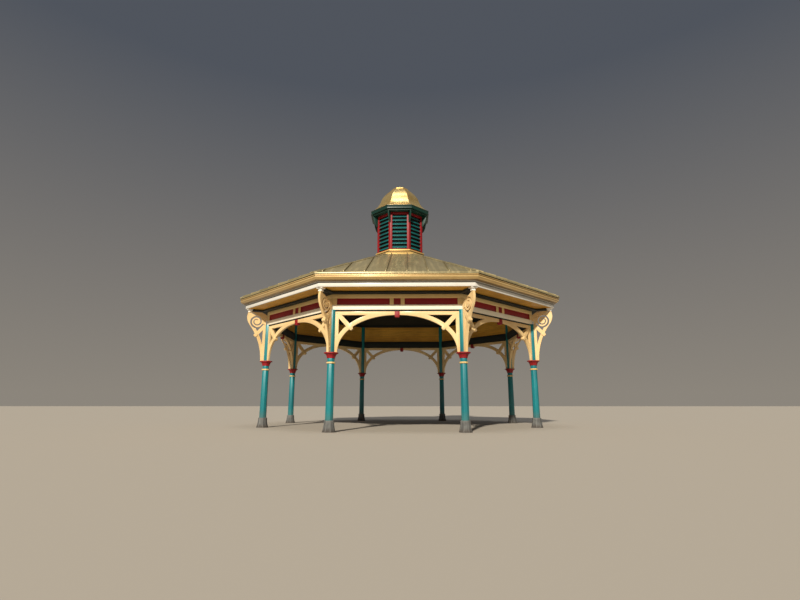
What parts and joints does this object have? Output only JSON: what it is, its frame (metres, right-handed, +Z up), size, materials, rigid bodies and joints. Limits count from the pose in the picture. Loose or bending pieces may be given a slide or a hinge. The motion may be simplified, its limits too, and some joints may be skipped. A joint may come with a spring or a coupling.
{
  "type": "bandstand",
  "caption": "Octagonal open bandstand: slim columns on plinths, braced arches, scroll eaves brackets, panelled frieze, seamed roof and a louvred cupola under a small bell dome.",
  "frame": {"origin": "on the ground, in the middle of the octagon", "axes": "+Z up, -Y out through the bay that faces the picture's viewpoint, +X to that viewpoint's right"},
  "size_m": [11.0374, 11.0374, 9.5375],
  "materials": {
    "concrete": "cast, weathered",
    "teal_paint": "satin paint",
    "cream_paint": "painted timber",
    "red_paint": "satin paint",
    "white_paint": "painted timber",
    "dark_green_paint": "painted timber",
    "tan_paint": "painted boards",
    "golden_paint": "painted boards",
    "gutter_metal": "painted sheet",
    "roof_metal": "weathered painted sheet",
    "gilded_metal": "polished sheet",
    "louvre_paint": "satin paint"
  },
  "bodies": {
    "root": {"column_plinths": "concrete", "column_shafts": "teal_paint", "neck_rings": "cream_paint", "column_necks": "teal_paint", "column_capitals": "red_paint", "upper_posts": "teal_paint", "arch_brackets": "cream_paint", "arch_keystones": "red_paint", "scroll_brackets": "cream_paint", "bracket_cap_blocks": "white_paint", "eaves_outriggers": "dark_green_paint", "packing_strips": "dark_green_paint", "lintel_beams": "dark_green_paint", "frieze_lower_rails": "cream_paint", "frieze_stiles": "cream_paint", "frieze_panels": "red_paint", "frieze_upper_rails": "cream_paint", "inner_boarding": "tan_paint", "wall_plates": "dark_green_paint", "bed_moulds": "dark_green_paint", "eaves_soffit": "golden_paint", "fascia_boards": "white_paint", "gutters": "gutter_metal", "roof_sheets": "roof_metal", "roof_seams": "roof_metal", "hip_caps": "roof_metal", "hip_rafters": "tan_paint", "ceiling_boards": "dark_green_paint", "cupola_curb": "gilded_metal", "cupola_skirt": "gilded_metal", "cupola_sills": "red_paint", "cupola_corner_posts": "red_paint", "cupola_louvres": "louvre_paint", "cupola_screens": "dark_green_paint", "cupola_head_rails": "red_paint", "cupola_brackets": "dark_green_paint", "cupola_soffit": "dark_green_paint", "cupola_cornice": "dark_green_paint", "dome_shell": "gilded_metal", "dome_cap": "gilded_metal"}
  },
  "joints": []
}
